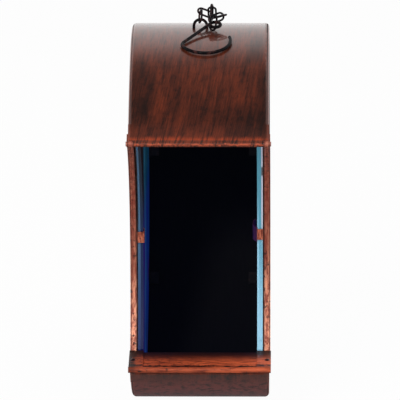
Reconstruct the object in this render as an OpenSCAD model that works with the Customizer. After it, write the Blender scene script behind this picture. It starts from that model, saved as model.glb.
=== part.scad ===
// Hanging bird feeder: a round sheet-copper hoop seen edge-on, open at the front over a perch,
// closed at each side by a recessed pane of art glass, and hung by a chain with a large hook.
// X runs across the hoop, Y to the back and Z up. The origin is where the chain bears in the
// hanging eye. Side views are drawn in (y, z), measured from the middle of the hoop.

/* [Hoop] */
// Outer radius of the round hoop
hoop_r = 130; // [115:1:145]
// Width of the hoop from side to side
hoop_w = 95; // [88:1:115]
// Thickness of the copper sheet
sheet = 1; // [0.8:0.1:1.2]
// Height of the flange turned in along each side of the hoop
flange_h = 8; // [6:0.5:10]
// Outer radius of the bend between hoop and flange
bend_r = 3; // [2.2:0.2:4]
// Angle of the roof's front edge above the middle of the hoop
roof_angle = 35.5; // [28:0.5:40]
// Angle of the perch's front edge below the middle of the hoop
perch_angle = 44; // [40:1:48]
// Length along the hoop, at each open end, where the flange is cut away
flange_relief = 14; // [12:1:22]
// Diameter of the drain holes in the bottom
drain_d = 4; // [2.5:0.5:5]
// Distance between the drain holes
drain_pitch = 24; // [18:1:28]

/* [Roof hem] */
// Outer diameter of the rolled front edge of the roof
hem_d = 4; // [3.8:0.1:5.2]
// Diameter of the wire inside the rolled edge
hem_wire_d = 1.8; // [1.6:0.1:2.2]
// Radial clearance of the wire in its roll and knuckles
hem_fit = 0.05; // [0.03:0.01:0.1]
// How far the rolled edge stands proud of the roof
hem_proud = 0.7; // [0.2:0.1:1]
// Height of the peened head on each end of the wire
head_h = 0.6; // [0.4:0.1:0.8]

/* [Mouth] */
// Radius of the concave front edge of each side
mouth_r = 112; // [104:1:125]
// Depth of the side strips, measured back from the mouth
strip_depth = 7; // [5:0.5:9]
// Width of the side strips across the hoop
strip_w = 4.4; // [3.8:0.1:5]
// How far the side strips stand proud of the hoop's sides
strip_proud = 0.9; // [0.4:0.1:1.1]
// Wall of the folded side strips
strip_wall = 0.8; // [0.6:0.1:1]
// Width of the open seam along the front of the side strips
strip_seam = 0.8; // [0.5:0.1:1.2]

/* [Perch] */
// Depth of the perch from its back edge to the front of its lip
perch_depth = 40; // [34:1:50]
// Slope of the perch down to the front, in degrees
perch_slope = 4; // [0:1:8]
// Outer diameter of the rolled lip
lip_d = 4.2; // [3.6:0.1:5]
// Height of the edge turned down at the back of the perch
back_turn = 6; // [4:0.5:8]
// How far the perch stands proud of the hoop's sides
perch_proud = 1.3; // [1.2:0.1:2]
// Width of the folded caps at the two ends of the perch
cap_w = 9.8; // [8:0.1:12]
// Thickness of the folded caps
cap_sheet = 0.8; // [0.6:0.1:1]
// Width of the seat turned in under the front of the perch
seat_w = 9; // [6:0.5:12]

/* [Glass] */
// Thickness of each glass pane
glass_t = 3.8; // [3:0.2:5]
// Gap between the side strips and the glass
glass_gap = 0.9; // [0.9:0.1:2.5]
// Gap between the edge of the glass and the metal round it
glass_play = 1; // [0.6:0.1:2]
// How far the front edge of the glass sits back from the mouth
glass_set = 0.5; // [0.2:0.1:1]
// Depth of the blunted corners of the glass
corner_cut = 7; // [6:1:12]
// Number of pairs of tabs that hold each pane in the hoop
tab_pairs = 7; // [5:1:9]
// Length of a tab along the hoop
tab_len = 9; // [6:1:12]
// Height of a tab against the glass
tab_h = 9; // [7:1:12]
// Length of the foot of an inner tab
tab_foot = 7; // [5:0.5:10]
// Thickness of the tabs and clips
tab_sheet = 0.8; // [0.6:0.1:1]
// Height of the clip round the front edge of each pane
clip_len = 8; // [6:0.5:10]
// Angle of the right clip round the mouth, up from the level of its centre
clip_angle = 11; // [4:1:18]
// How much lower the left clip sits, as an angle
clip_drop = 1.2; // [0:0.2:3]
// Height of the clip's tongue
tongue_len = 11; // [10:0.5:13]
// Length of the tongue along the glass
tongue_reach = 12; // [9:0.5:14]
// How far the tongue springs out from the glass
tongue_spring = 2.4; // [1.5:0.1:3]

/* [Rivets] */
// Diameter of a rivet's shank
rivet_d = 2; // [1.6:0.1:2.2]
// Diameter of a rivet's head
rivet_head_d = 3.6; // [3.2:0.1:4]
// Height of a rivet's head
rivet_head_h = 0.9; // [0.6:0.1:1.2]
// Distance of the perch rivets from the back edge of the perch
rivet_set = 18; // [12:1:24]

/* [Hanging eye] */
// Wire diameter of the hanging eye
eye_wire_d = 2; // [1.6:0.1:2.2]
// Overall width of the eye
eye_w = 11; // [9:0.5:13]
// Height of the eye's wire, to its middle, above the roof
eye_rise = 6.1; // [5.5:0.1:7]
// Length of the ends bent out under the roof
eye_tail = 7; // [5:0.5:9]
// Length of the backing plate under the roof, across the hoop
plate_w = 24; // [22:1:30]
// Length of the backing plate along the hoop
plate_len = 12; // [9:1:16]

/* [Chain] */
// Wire diameter of a chain link
link_wire_d = 1.4; // [1.2:0.1:1.4]
// Overall length of a link
link_len = 12; // [11.5:0.1:12.2]
// Overall width of a link
link_w = 6.6; // [6.2:0.1:6.8]
// Play between one link's wire and the next
link_play = 0.4; // [0.3:0.05:0.5]
// How far each link of the heap is folded about the wire it hangs on, in degrees
link_fold = [-60, -100, -110, 120, -110, 130, -60]; // [-150:10:150]
// How far each link is twisted from the one before it, in degrees
link_twist = [110, 100, 100, 100, 100, 80, 90]; // [60:10:120]

/* [Hook] */
// Wire diameter of the hook
hook_wire_d = 2.3; // [2:0.1:2.6]
// Radius of the hook's large bend, to the middle of the wire
hook_r = 17.2; // [15:0.2:19]
// Radius of the tight bend between the large bend and the shank
kink_r = 5; // [3:0.5:7]
// Radius of the hook's small eye, to the middle of the wire
hook_eye_r = 3.6; // [3.2:0.1:4.2]
// Distance of the small eye above the middle of the large bend
shank_rise = 22; // [20:0.5:26]
// Distance of the small eye to the right of the middle of the large bend
shank_shift = 6.5; // [4:0.5:9]
// Distance of the large bend's middle to the right of the hoop's middle
hook_shift = 3.8; // [2:0.2:6]
// Distance of the small eye's middle behind the hanging eye; it is negative, so in front
hook_back = -8.356; // [-10:0.002:-6]
// Angle from the top of the roof to where the hook lies on it
hook_tilt = 16; // [12:0.5:18]

/* [Hidden] */
$fn = 96;
EPS = 0.01;
TOUCH = 0.05; // gap left between pieces of one body that would only just touch
RUN = 0.3; // gap between pieces that are slid or turned past each other
hook_lift = 0.3; // gap between the hook and the roof

// The middle of the hoop, below the origin in the eye
hub_z = -(hoop_r + eye_rise - eye_wire_d / 2);
hoop_in = hoop_r - sheet;
half_w = hoop_w / 2;
eye_hole_d = eye_wire_d + 0.2;

// A point of the side view at a radius, and at an angle up from the front
function polar(r, a) = [-r * cos(a), r * sin(a)];
// The angle of a direction in the side view, counted the same way
function turn_of(v) = let (a = atan2(v[1], -v[0])) a < 0 ? a + 360 : a;
function arc_angle(len, r) = len / r * 180 / PI;

front_end = 360 - perch_angle;
relief = arc_angle(flange_relief, hoop_r);

// The rolled hem, with the wire in its middle
hem_at = polar(hoop_r - hem_d / 2 + hem_proud, roof_angle);
hem_bore_r = hem_wire_d / 2 + hem_fit;
hem_seam = 0.5; // width of the seam where the rolled sheet meets itself
head_d = hem_wire_d + 1.4;
knuckle_d = hem_d + 0.2;
knuckle_play = 0.2; // gap between the knuckles and the roof they sit in

// The perch frame starts at the hoop's front corner, with x back along the perch and y up
perch_at = polar(hoop_r, -perch_angle);
lip_overhang = 1;
lip_x = lip_d / 2 - lip_overhang;
lip_seam = 0.7; // width of the seam where the rolled lip meets the perch
lip_seam_turn = 28; // angle of that seam below the middle of the roll
perch_back = perch_depth - lip_overhang;
cap_top = sheet + cap_sheet;
cap_reach = 4.4; // width of the cap's lower leg under the perch
perch_half = half_w + perch_proud;
function on_perch(x, y) = perch_at + [
    x * cos(perch_slope) - y * sin(perch_slope),
    x * sin(perch_slope) + y * cos(perch_slope)
];

// The mouth is an arc from the hem to the back edge of the perch
mouth_low = on_perch(perch_back, cap_top);
mouth_chord = mouth_low - hem_at;
mouth_half = norm(mouth_chord) / 2;
mouth_c = (hem_at + mouth_low) / 2
    + sqrt(mouth_r * mouth_r - mouth_half * mouth_half)
    * [mouth_chord[1], -mouth_chord[0]] / norm(mouth_chord);
strip_foot = 2; // angle of the strip's solid foot above the perch
strip_top_spare = 4; // angle by which the strip runs on into its knuckle
strip_low_spare = 6; // angle by which it runs on past the perch, before it is cut to it
mouth_top_turn = turn_of(hem_at - mouth_c);
mouth_low_turn = turn_of(mouth_low - mouth_c);

strip_out = half_w + strip_proud;
strip_in = strip_out - strip_w;
glass_out = strip_in - glass_gap;
glass_in = glass_out - glass_t;
glass_r = hoop_in - glass_play;
blunt_top = 17; // angle of the cut across the upper corner of the glass
blunt_low = -19; // angle of the cut across its lower corner

// Moves from the middle of the hoop to the origin in the eye
module hub() {
    translate([0, 0, hub_z]) children();
}

// Turns a (radius, -x) section about an axis along X through the point c of the side view
module turned(c, from, to) {
    translate([0, c[0], c[1]])
        rotate([90, 0, -90])
            rotate([0, 0, from])
                rotate_extrude(angle = to - from) children();
}

// Extrudes a side view across the hoop, from x = low to x = high
module across(low, high) {
    translate([low, 0, 0])
        rotate([90, 0, 90])
            linear_extrude(high - low) children();
}

// Moves to the perch frame in the side view
module perch_frame() {
    translate(perch_at) rotate(perch_slope) children();
}

// Draws a right-hand piece, or its mirror image on the left
module side(left) {
    if (left) {
        mirror([1, 0, 0]) children();
    } else {
        children();
    }
}

module ring_2d(outer, inner) {
    difference() {
        circle(r = outer);
        circle(r = inner);
    }
}

// ---------- hoop ----------

// Half of the hoop's channel section, with the flange on one side
module half_channel_2d() {
    translate([hoop_in, 0]) square([sheet, half_w - bend_r]);
    translate([hoop_r - flange_h, half_w - sheet]) square([flange_h - bend_r, sheet]);
    translate([hoop_r - bend_r, half_w - bend_r])
        intersection() {
            ring_2d(bend_r, bend_r - sheet);
            square(bend_r);
        }
}

module channel_2d() {
    half_channel_2d();
    mirror([0, 1]) half_channel_2d();
}

module web_2d() {
    translate([hoop_in, -half_w]) square([sheet, hoop_w]);
}

// The roof's front edge rolled round the hem wire, with the raw edge's seam inside
module hem_roll() {
    across(-strip_in + RUN, strip_in - RUN)
        translate(hem_at)
            difference() {
                circle(d = hem_d);
                rotate(-roof_angle - 60)
                    translate([hem_bore_r / 2, -hem_seam / 2]) square([hem_d, hem_seam]);
            }
}

module hoop() {
    color([0.44, 0.25, 0.19])
        hub()
            difference() {
                union() {
                    turned([0, 0], roof_angle + relief, front_end - relief) channel_2d();
                    turned([0, 0], roof_angle, roof_angle + relief + EPS) web_2d();
                    turned([0, 0], front_end - relief - EPS, front_end) web_2d();
                    hem_roll();
                    across(-strip_in + TOUCH, strip_in - TOUCH)
                        perch_frame() translate([0, -sheet]) square([seat_w, sheet]);
                }
                across(-hoop_w, hoop_w) translate(hem_at) circle(r = hem_bore_r);
                across(-hoop_w, hoop_w) perch_frame() translate([-seat_w, 0]) square(2 * seat_w);
                for (s = [-1, 1])
                    translate([s * (strip_in + half_w - RUN + TOUCH), hem_at[0], hem_at[1]])
                        rotate([0, 90, 0])
                            cylinder(d = knuckle_d + 2 * knuckle_play, h = hoop_w, center = true);
                for (s = [-1, 1])
                    translate([s * (eye_w - eye_wire_d) / 2, 0, hoop_r])
                        cylinder(d = eye_hole_d, h = 4 * sheet, center = true);
                for (i = [-1:1])
                    translate([i * drain_pitch, 0, -hoop_r])
                        cylinder(d = drain_d, h = 4 * sheet, center = true);
            }
}

module hem_wire() {
    length = 2 * (strip_out + TOUCH);
    color([0.62, 0.42, 0.36])
        hub()
            translate([0, hem_at[0], hem_at[1]])
                rotate([0, 90, 0]) {
                    cylinder(d = hem_wire_d, h = length + EPS, center = true);
                    for (s = [-1, 1])
                        translate([0, 0, s * (length + head_h) / 2])
                            cylinder(d = head_d, h = head_h, center = true);
                }
}

// ---------- perch ----------

// The rolled lip: the sheet comes forward, turns up and back, and leaves a seam on the plate
module lip_2d() {
    translate([lip_x, lip_d / 2])
        difference() {
            ring_2d(lip_d / 2, lip_d / 2 - sheet);
            rotate(-lip_seam_turn) translate([0, -lip_seam]) square([lip_d, lip_seam]);
        }
}

module perch_2d() {
    lip_2d();
    translate([lip_x, 0]) square([perch_back - 2 * sheet - lip_x, sheet]);
    translate([perch_back - 2 * sheet, -sheet])
        intersection() {
            ring_2d(2 * sheet, sheet);
            square(2 * sheet);
        }
}

module rivet_axis(left) {
    side(left)
        translate([(strip_in + strip_out) / 2, perch_at[0], perch_at[1]])
            rotate([perch_slope, 0, 0])
                translate([0, perch_back - rivet_set, 0]) children();
}

module rivet_holes() {
    for (left = [false, true])
        rivet_axis(left) cylinder(d = rivet_d + 2 * TOUCH, h = 6 * cap_top, center = true);
}

module perch() {
    color([0.50, 0.28, 0.20])
        hub()
            difference() {
                union() {
                    across(-perch_half, perch_half) perch_frame() lip_2d();
                    across(-perch_half + cap_sheet + TOUCH, perch_half - cap_sheet - TOUCH)
                        perch_frame() perch_2d();
                    across(-glass_in + glass_play / 2, glass_in - glass_play / 2)
                        perch_frame()
                            translate([perch_back - sheet, sheet - back_turn])
                                square([sheet, back_turn - 2 * sheet + EPS]);
                }
                rivet_holes();
            }
}

// A strip folded round the end of the perch plate
module perch_cap(left) {
    color([0.58, 0.33, 0.24])
        hub()
            difference() {
                side(left)
                    translate([0, perch_at[0], perch_at[1]])
                        rotate([perch_slope, 0, 0])
                            translate([perch_half, lip_x + lip_d / 2 + RUN, 0])
                                rotate([-90, 0, 0])
                                    linear_extrude(perch_back - lip_x - lip_d / 2 - RUN)
                                        cap_2d();
                side(left)
                    across(0, perch_half - cap_sheet)
                        perch_frame()
                            translate([perch_back - 2 * sheet - TOUCH, sheet - hoop_w])
                                square([3 * sheet, hoop_w]);
                rivet_holes();
            }
}

// Section of the cap, with x from the outer face and y down
module cap_2d() {
    translate([-cap_w, -cap_top]) square([cap_w, cap_sheet]);
    translate([-cap_sheet, -cap_top]) square([cap_sheet, cap_top + cap_sheet]);
    translate([-cap_reach, 0]) square([cap_reach, cap_sheet]);
}

module perch_rivets() {
    grip = cap_top + cap_sheet;
    color([0.25, 0.12, 0.09])
        hub()
            for (left = [false, true])
                rivet_axis(left) {
                    translate([0, 0, -cap_sheet]) cylinder(d = rivet_d, h = grip);
                    translate([0, 0, cap_top]) rivet_head();
                    translate([0, 0, -cap_sheet]) mirror([0, 0, 1]) rivet_head();
                }
}

// A low dome: a cap cut off a sphere
module rivet_head() {
    ball_r = (rivet_head_d * rivet_head_d / 4 + rivet_head_h * rivet_head_h) / (2 * rivet_head_h);
    intersection() {
        translate([0, 0, rivet_head_h - ball_r]) sphere(r = ball_r);
        cylinder(d = 2 * rivet_head_d, h = 2 * rivet_head_h);
    }
}

// ---------- sides ----------

// Section of the side strip in (radius, -x), with a fin at its back that closes the gap to the glass
module strip_2d() {
    translate([mouth_r, -strip_out]) square([strip_depth, strip_w]);
    translate([mouth_r + strip_depth - strip_wall, -strip_in - EPS])
        square([strip_wall, glass_gap - TOUCH + EPS]);
}

// The hollow of the folded strip, open along the seam at the front
module strip_hollow_2d() {
    translate([mouth_r + strip_wall, strip_wall - strip_out])
        square([strip_depth - 2 * strip_wall, strip_w - 2 * strip_wall]);
    translate([mouth_r - 1, (strip_w - strip_seam) / 2 - strip_out])
        square([strip_wall + 2, strip_seam]);
}

// The side strip follows the mouth from its knuckle on the hem wire down to the perch
module side_strip(left) {
    color([0.60, 0.34, 0.24])
        hub()
            side(left)
                difference() {
                    union() {
                        intersection() {
                            difference() {
                                turned(
                                    mouth_c,
                                    mouth_top_turn - strip_top_spare,
                                    mouth_low_turn + strip_low_spare
                                ) strip_2d();
                                turned(
                                    mouth_c,
                                    mouth_top_turn - strip_top_spare - 1,
                                    mouth_low_turn - strip_foot
                                ) strip_hollow_2d();
                                across(0, hoop_w)
                                    perch_frame()
                                        translate([-perch_depth, cap_top - perch_depth])
                                            square([3 * perch_depth, perch_depth]);
                            }
                            across(0, hoop_w) circle(r = hoop_in - TOUCH);
                        }
                        across(strip_in - TOUCH, strip_out + TOUCH)
                            translate(hem_at) rotate(180) circle(d = knuckle_d);
                    }
                    across(0, hoop_w) translate(hem_at) circle(r = hem_bore_r);
                }
}

// Cuts off everything on the near side of a line across the direction a, at a distance from p
module blunt_2d(p, a, distance) {
    translate(p) rotate(a) translate([-half_w, -half_w]) square([half_w + distance, hoop_w]);
}

module glass_2d() {
    difference() {
        circle(r = glass_r);
        intersection() {
            translate(mouth_c) circle(r = mouth_r + glass_set);
            perch_frame() translate([-hoop_r, -sheet - glass_play]) square(3 * hoop_r);
        }
        perch_frame()
            translate([-hoop_r, -sheet - glass_play])
                square([hoop_r + perch_back + glass_play, sheet + cap_top + 2 * glass_play]);
        blunt_2d(hem_at, blunt_top, corner_cut);
        blunt_2d(perch_at, blunt_low, corner_cut);
    }
}

module glass(left) {
    color([0.10, 0.42, 0.62, 0.6])
        hub()
            side(left)
                across(glass_in, glass_out) glass_2d();
}

// Angles of the tab pairs round the hoop
tab_margin = 8; // angle between the cut-away flange and the first tab
tab_first = roof_angle + relief + tab_margin;
tab_last = front_end - relief - tab_margin;
function tab_turn(i) = tab_first + (tab_last - tab_first) * i / (tab_pairs - 1);

module tab_ring() {
    span = arc_angle(tab_len, hoop_in);
    for (i = [0:tab_pairs - 1])
        turned([0, 0], tab_turn(i) - span / 2, tab_turn(i) + span / 2) children();
}

// Tabs on the inner face of the pane, each with its foot on the hoop
module inner_tabs(left) {
    color([0.52, 0.29, 0.21])
        hub()
            side(left)
                tab_ring() {
                    translate([hoop_in - tab_sheet, -glass_in]) square([tab_sheet, tab_foot]);
                    translate([hoop_in - tab_h, -glass_in]) square([tab_h, tab_sheet]);
                }
}

// Tabs on the outer face of the pane, with short feet between it and the flange
module outer_tabs(left) {
    color([0.52, 0.29, 0.21])
        hub()
            side(left)
                tab_ring() {
                    translate([hoop_in - tab_sheet, -half_w + bend_r])
                        square([tab_sheet, half_w - bend_r - glass_out]);
                    translate([hoop_in - tab_h, -glass_out - tab_sheet]) square([tab_h, tab_sheet]);
                }
}

// Section of the clip: a leg between strip and glass, and a face over the edge of the glass
module clip_2d() {
    translate([mouth_r - tab_sheet, -glass_out - tab_sheet - TOUCH])
        square([tab_sheet, glass_t + 2 * tab_sheet + TOUCH]);
    translate([mouth_r - tab_sheet, -glass_out - tab_sheet - TOUCH])
        square([strip_depth - strip_wall - TOUCH, tab_sheet]);
}

// The left clip's inner leg, pressed flat on the glass
module flat_leg_2d() {
    translate([mouth_r - tab_sheet, -glass_in + TOUCH]) square([strip_depth, tab_sheet - TOUCH]);
}

// Section of the tongue: a leaf that bows away from the glass and comes back close to it
module tongue_2d() {
    half = tongue_reach / 2;
    root = tab_sheet / 2;
    tip_gap = 0.4;
    leaf_r = (half * half + tongue_spring * tongue_spring) / (2 * tongue_spring);
    translate([mouth_r + half, -glass_in])
        intersection() {
            translate([0, tongue_spring - leaf_r]) ring_2d(leaf_r + tab_sheet, leaf_r);
            translate([-half - root, 0])
                square([2 * half + root - tip_gap, tongue_spring + 2 * tab_sheet]);
        }
}

module front_clip(left) {
    at = 180 - clip_angle + (left ? clip_drop : 0);
    clip_half = arc_angle(clip_len, mouth_r) / 2;
    tongue_half = arc_angle(tongue_len, mouth_r) / 2;
    color([0.66, 0.36, 0.22])
        hub()
            side(left) {
                turned(mouth_c, at - clip_half, at + clip_half) clip_2d();
                if (left) {
                    turned(mouth_c, at - clip_half, at + clip_half) flat_leg_2d();
                } else {
                    turned(mouth_c, at - tongue_half, at + tongue_half) tongue_2d();
                }
            }
}

// ---------- hanging eye ----------

// A wire loop whose legs pass through the roof and are bent out under the backing plate
module hanging_eye() {
    bow_r = (eye_w - eye_wire_d) / 2;
    bow_z = hoop_r + eye_rise - bow_r;
    bend = 0.75 * eye_wire_d;
    tail_z = hoop_in - sheet - bend - TOUCH;
    color([0.10, 0.09, 0.09])
        hub() {
            translate([0, 0, bow_z])
                rotate([90, 0, 0])
                    rotate_extrude(angle = 180) translate([bow_r, 0]) circle(d = eye_wire_d, $fn = 48);
            for (s = [0, 1])
                mirror([s, 0, 0]) {
                    translate([bow_r, 0, tail_z + bend])
                        cylinder(d = eye_wire_d, h = bow_z - tail_z - bend, $fn = 48);
                    translate([bow_r + bend, 0, tail_z + bend])
                        rotate([90, 0, 0])
                            rotate([0, 0, 180])
                                rotate_extrude(angle = 90)
                                    translate([bend, 0]) circle(d = eye_wire_d, $fn = 48);
                    translate([bow_r + bend, 0, tail_z])
                        rotate([0, 90, 0]) cylinder(d = eye_wire_d, h = eye_tail - bend, $fn = 48);
                }
        }
}

module eye_plate() {
    span = arc_angle(plate_len, hoop_in);
    color([0.45, 0.26, 0.19])
        hub()
            difference() {
                turned([0, 0], 90 - span / 2, 90 + span / 2)
                    translate([hoop_in - sheet, -plate_w / 2]) square([sheet, plate_w]);
                for (s = [-1, 1])
                    translate([s * (eye_w - eye_wire_d) / 2, 0, hoop_in])
                        cylinder(d = eye_hole_d, h = 4 * sheet, center = true);
            }
}

// ---------- chain and hook ----------

// From the middle of a link's first bow to the middle of its second
link_reach = link_len - link_wire_d;
// From the wire that a link hangs on to the middle of its first bow, less the pull of the play
link_hang = link_wire_d + link_play;

// Moves to link number i: its hinge is at the origin and the link lies along x, flat in y
module at_link(i) {
    if (i == 0) {
        translate([0, 0, eye_wire_d / 2])
            rotate([link_fold[0], 0, 0])
                rotate([180, -90, 0])
                    rotate([link_twist[0] - 90, 0, 0])
                        translate([-(eye_wire_d - link_wire_d) / 2, 0, 0]) children();
    } else {
        at_link(i - 1)
            translate([link_reach - link_hang, 0, 0])
                rotate([0, link_fold[i], 0])
                    rotate([link_twist[i] - 180, 0, 0]) children();
    }
}

// A closed link, its first bow behind its hinge
module chain_link(i) {
    bow_r = (link_w - link_wire_d) / 2;
    straight = link_reach - 2 * bow_r;
    color([0.10, 0.09, 0.09])
        at_link(i)
            translate([link_reach / 2 - link_hang, 0, 0])
                for (s = [0, 1])
                    rotate([0, 0, 180 * s]) {
                        translate([straight / 2, 0, 0])
                            rotate([0, 0, -90])
                                rotate_extrude(angle = 180)
                                    translate([bow_r, 0]) circle(d = link_wire_d, $fn = 32);
                        translate([-straight / 2, bow_r, 0])
                            rotate([0, 90, 0]) cylinder(d = link_wire_d, h = straight, $fn = 32);
                    }
}

// Where the large bend meets the tight one, counted round the large bend from the right
kink_turn = 207;
// Where the hook's free end is, counted the same way
free_turn = 375;
kink_at = (hook_r - kink_r) * [cos(kink_turn), sin(kink_turn)];
hook_eye_at = [shank_shift, shank_rise];
hook_plane = hoop_r + hook_wire_d / 2 + hook_lift;

// The hook's small eye keeps its place behind the hanging eye, so it stays on the last link
small_eye_back = (hook_back + hook_plane * sin(hook_tilt)) / cos(hook_tilt);
// The shank is the line that touches the tight bend and the small eye on their left
shank_run = hook_eye_at - kink_at;
shank_turn = atan2(shank_run[1], shank_run[0]) + 90 - asin((kink_r - hook_eye_r) / norm(shank_run));
hook_eye_wrap = 315;

// An arc of wire in the flat, between two angles
module wire_arc(r, from, to, d) {
    rotate([0, 0, from])
        rotate_extrude(angle = to - from) translate([r, 0]) circle(d = d, $fn = 48);
}

// A ball a hair wider than the wire, with its poles along the wire of a bend at that angle
module joint_ball(at, turn) {
    translate(at) rotate([90, 0, turn]) sphere(d = hook_wire_d + 2 * TOUCH, $fn = 48);
}

// The hook lies on the roof: a large bend, a tight bend and a shank that ends in a small eye.
// A ball, a hair wider than the wire, rounds its free end and joins each stretch to the next.
module hook() {
    out = [cos(shank_turn), sin(shank_turn)];
    kink_from = hook_r * [cos(kink_turn), sin(kink_turn)];
    shank_from = kink_at + kink_r * out;
    shank_to = hook_eye_at + hook_eye_r * out;
    color([0.10, 0.09, 0.09])
        hub()
            rotate([hook_tilt, 0, 0])
                translate([hook_shift, small_eye_back - shank_rise, hook_plane]) {
                    wire_arc(hook_r, kink_turn, free_turn, hook_wire_d);
                    joint_ball(hook_r * [cos(free_turn), sin(free_turn)], free_turn);
                    joint_ball(kink_from, kink_turn);
                    joint_ball(shank_from, shank_turn);
                    joint_ball(shank_to, shank_turn);
                    translate(kink_at) wire_arc(kink_r, shank_turn, kink_turn, hook_wire_d);
                    translate(shank_from)
                        rotate([0, 0, atan2((shank_to - shank_from)[1], (shank_to - shank_from)[0])])
                            rotate([0, 90, 0])
                                cylinder(d = hook_wire_d, h = norm(shank_to - shank_from), $fn = 48);
                    translate(hook_eye_at)
                        wire_arc(hook_eye_r, shank_turn - hook_eye_wrap, shank_turn, hook_wire_d);
                }
}

hoop();
hem_wire();
perch();
perch_cap(true);  // perch_cap_left
perch_cap(false);  // perch_cap_right
side_strip(true);  // side_strip_left
side_strip(false);  // side_strip_right
glass(true);  // glass_left
glass(false);  // glass_right
front_clip(true);  // front_clip_left
front_clip(false);  // front_clip_right
inner_tabs(true);  // inner_tabs_left
inner_tabs(false);  // inner_tabs_right
outer_tabs(true);  // outer_tabs_left
outer_tabs(false);  // outer_tabs_right
perch_rivets();
hanging_eye();
eye_plate();
chain_link(0);  // chain_link_1
chain_link(1);  // chain_link_2
chain_link(2);  // chain_link_3
chain_link(3);  // chain_link_4
chain_link(4);  // chain_link_5
chain_link(5);  // chain_link_6
chain_link(6);  // chain_link_7
hook();
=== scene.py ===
"""Dresses a hanging bird feeder: a brushed copper hoop with art-glass sides, a perch, a chain and a hook."""

import logging
import math
from dataclasses import dataclass, field
from enum import Enum

import bmesh
import bpy
from mathutils import Matrix, Vector


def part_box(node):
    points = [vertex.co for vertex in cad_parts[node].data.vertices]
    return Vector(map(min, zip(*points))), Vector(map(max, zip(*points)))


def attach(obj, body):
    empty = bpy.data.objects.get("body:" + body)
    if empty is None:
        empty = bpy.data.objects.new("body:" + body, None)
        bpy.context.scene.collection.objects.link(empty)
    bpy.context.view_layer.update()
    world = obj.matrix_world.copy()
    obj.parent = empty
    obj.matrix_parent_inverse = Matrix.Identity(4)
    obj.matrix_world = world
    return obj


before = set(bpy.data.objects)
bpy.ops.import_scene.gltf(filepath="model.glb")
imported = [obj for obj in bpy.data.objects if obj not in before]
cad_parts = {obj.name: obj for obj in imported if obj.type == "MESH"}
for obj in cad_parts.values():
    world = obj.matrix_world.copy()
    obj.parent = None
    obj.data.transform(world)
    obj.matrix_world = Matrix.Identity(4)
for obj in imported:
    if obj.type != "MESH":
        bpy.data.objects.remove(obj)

LOG = logging.getLogger("feeder")
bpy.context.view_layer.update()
MM = 0.001

# The hoop's middle and outer radius, from the hoop's own box
HOOP_LOW, HOOP_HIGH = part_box("hoop")
HOOP_R = (HOOP_HIGH.z - HOOP_LOW.z) / 2
HUB = Vector((0.0, 0.0, HOOP_HIGH.z - HOOP_R))

# The arc that the mouth is cut along: its middle, seen from the hoop's middle, and its radius
MOUTH = Vector((0.0, -150.4013 * MM, -27.5494 * MM))
MOUTH_R = 112.0 * MM

Colour = tuple[float, float, float]
WHITE = (1.0, 1.0, 1.0, 1.0)
BLACK: Colour = (0.0, 0.0, 0.0)


class Side(Enum):
    """The two sides of the feeder."""

    LEFT = "left"
    RIGHT = "right"


def srgb(red: int, green: int, blue: int) -> Colour:
    """Returns a screen colour, 0 to 255, as linear light."""
    parts = [value / 255 for value in (red, green, blue)]
    return tuple(part / 12.92 if part <= 0.04045 else ((part + 0.055) / 1.055) ** 2.4 for part in parts)


# ---------------------------------------------------------------- shader building


@dataclass(frozen=True)
class Step:
    """A smooth step in a value.

    Attributes:
        start: Where it is still 0.
        end: Where it is complete. Below start, the step falls instead of rising.
        share: The height that it reaches.
    """

    start: float
    end: float
    share: float = 1.0

    def moved(self, by: float) -> "Step":
        """Returns the same step at another place."""
        return Step(self.start + by, self.end + by, self.share)


@dataclass(frozen=True)
class Span:
    """Two values that a mask leads from and to.

    Attributes:
        clear: The value where the mask is 0.
        full: The value where the mask is 1.
    """

    clear: float
    full: float


@dataclass(frozen=True)
class Noise:
    """A noise pattern.

    Attributes:
        scale: Its frequency along each place that it is read at, or one for every direction.
        detail: Its octaves.
        rough: How strong the finer octaves are.
        cut: The third place of a pattern that is read at two.
        ripple: How strongly a slower noise bends the first place.
    """

    scale: tuple[float, ...]
    detail: float
    rough: float
    cut: float = 0.0
    ripple: float = 0.0


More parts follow.
